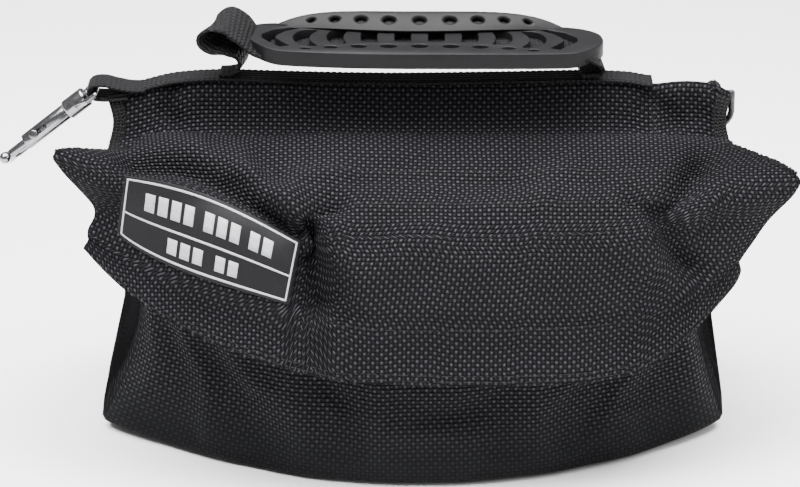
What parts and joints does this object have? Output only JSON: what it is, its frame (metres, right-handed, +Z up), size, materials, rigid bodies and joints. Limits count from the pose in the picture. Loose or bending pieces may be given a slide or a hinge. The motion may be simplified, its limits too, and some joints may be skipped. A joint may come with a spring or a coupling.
{
  "type": "sandbag",
  "caption": "Black woven-nylon saddle sandbag: two sand-filled pouches with fold-over flaps, a moulded grip on a webbing handle, a swivel bolt snap and a D-ring.",
  "frame": {"origin": "under the middle of the whole object's box, on the surface it stands on", "axes": "+X along the ridge from the snap hook to the D-ring, +Y from the front pouch (the one with the label) to the back pouch, +Z up"},
  "size_m": [0.4494, 0.2226, 0.2379],
  "materials": {
    "nylon": "coarse basket-weave nylon with a dull coating",
    "webbing": "heavy ribbed nylon webbing",
    "tape": "folded binding tape",
    "fastener": "hook-and-loop strip",
    "label": "satin patch with a printed white outline",
    "liner": "polyethylene film",
    "sand": "dry sand",
    "grip_rubber": "matt moulded rubber",
    "zinc": "bright nickel-plated zinc casting",
    "spring_steel": "spring wire",
    "dark_metal": "smooth dark grey coated wire"
  },
  "bodies": {
    "front_pouch": {"front_pouch_shell": "nylon", "front_liner_bag": "liner", "front_sand_fill": "sand", "front_hook_strip": "fastener", "front_saddle_panel": "nylon", "front_edge_binding": "tape", "ridge_webbing": "webbing", "snap_strap_loop": "webbing", "ring_strap_loop": "webbing"},
    "front_flap": {"front_flap": "nylon", "front_loop_strip": "fastener", "front_flap_binding": "tape", "label_patch": "label"},
    "back_pouch": {"back_pouch_shell": "nylon", "back_liner_bag": "liner", "back_sand_fill": "sand", "back_hook_strip": "fastener", "back_saddle_panel": "nylon", "back_edge_binding": "tape"},
    "back_flap": {"back_flap": "nylon", "back_loop_strip": "fastener", "back_flap_binding": "tape"},
    "handle": {"handle_webbing": "webbing", "handle_grip": "grip_rubber"},
    "snap_eye": {"snap_eye": "zinc"},
    "snap_body": {"snap_body": "zinc", "swivel_rivet": "zinc", "bolt_spring": "spring_steel"},
    "snap_bolt": {"snap_bolt": "zinc", "thumb_knob": "zinc"},
    "d_ring": {"d_ring": "dark_metal"}
  },
  "joints": [
    {"name": "saddle_opening", "type": "hinge", "parent": "front_pouch", "child": "back_pouch", "pos_m": [0.0132, 0, 0.2055], "axis": [1, 0, 0], "range_deg": [0, 35]},
    {"name": "front_flap_lift", "type": "hinge", "parent": "front_pouch", "child": "front_flap", "pos_m": [0.0132, -0.0675, 0.1675], "axis": [-1, 0, 0], "range_deg": [0, 110]},
    {"name": "back_flap_lift", "type": "hinge", "parent": "back_pouch", "child": "back_flap", "pos_m": [0.0132, 0.0675, 0.1675], "axis": [1, 0, 0], "range_deg": [0, 110]},
    {"name": "handle_tilt", "type": "hinge", "parent": "front_pouch", "child": "handle", "pos_m": [0.0132, 0, 0.209], "axis": [1, 0, 0], "range_deg": [-25, 25], "stiffness_Nm_per_rad": 0.5},
    {"name": "snap_eye_swing", "type": "hinge", "parent": "front_pouch", "child": "snap_eye", "pos_m": [-0.1688, 0, 0.201], "axis": [0, 1, 0], "range_deg": [-30, 70]},
    {"name": "snap_swivel", "type": "hinge", "parent": "snap_eye", "child": "snap_body", "pos_m": [-0.1688, 0, 0.201], "axis": [-0.7826, 0, -0.6225], "continuous": true},
    {"name": "bolt_draw", "type": "slide", "parent": "snap_body", "child": "snap_bolt", "axis": [0.7826, 0, 0.6225], "range_m": [0, 0.007], "stiffness_N_per_m": 300, "springref_m": -0.008, "deforming": ["bolt_spring"]},
    {"name": "ring_swing", "type": "hinge", "parent": "front_pouch", "child": "d_ring", "pos_m": [0.179, 0, 0.198], "axis": [1, 0, 0], "range_deg": [-20, 20]}
  ]
}
